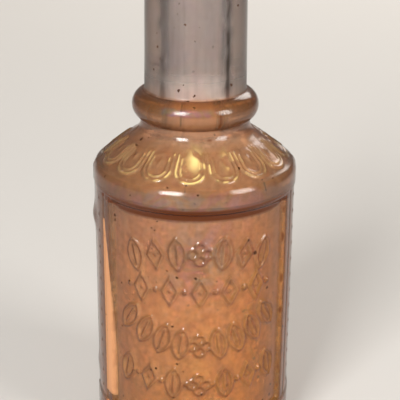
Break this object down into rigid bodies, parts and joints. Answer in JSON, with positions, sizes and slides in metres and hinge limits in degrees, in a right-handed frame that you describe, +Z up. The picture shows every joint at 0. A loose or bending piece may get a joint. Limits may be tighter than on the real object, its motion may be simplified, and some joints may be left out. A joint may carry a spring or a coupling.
{
  "type": "antique glass bottle",
  "caption": "Small round moulded glass bottle with a ringed neck, petalled shoulder, collar, two sunk panels and beaded side strips, closed by a tapered cork.",
  "frame": {"origin": "centre of the base, on the surface that the bottle stands on", "axes": "+Z up the bottle's axis to the cork, -Y out of the front sunk panel, +X towards the right-hand side strip"},
  "size_m": [0.042, 0.042, 0.1175],
  "materials": {
    "bottle_glass": "moulded, faintly iridescent old glass, stained peach and amber",
    "cork": "natural cork, darkened with age"
  },
  "bodies": {
    "bottle": {"glass_bottle": "bottle_glass"},
    "stopper": {"cork_stopper": "cork"}
  },
  "joints": [
    {"name": "stopper_pull", "type": "slide", "parent": "bottle", "child": "stopper", "axis": [0, 0, 1], "range_m": [0, 0.03]}
  ]
}
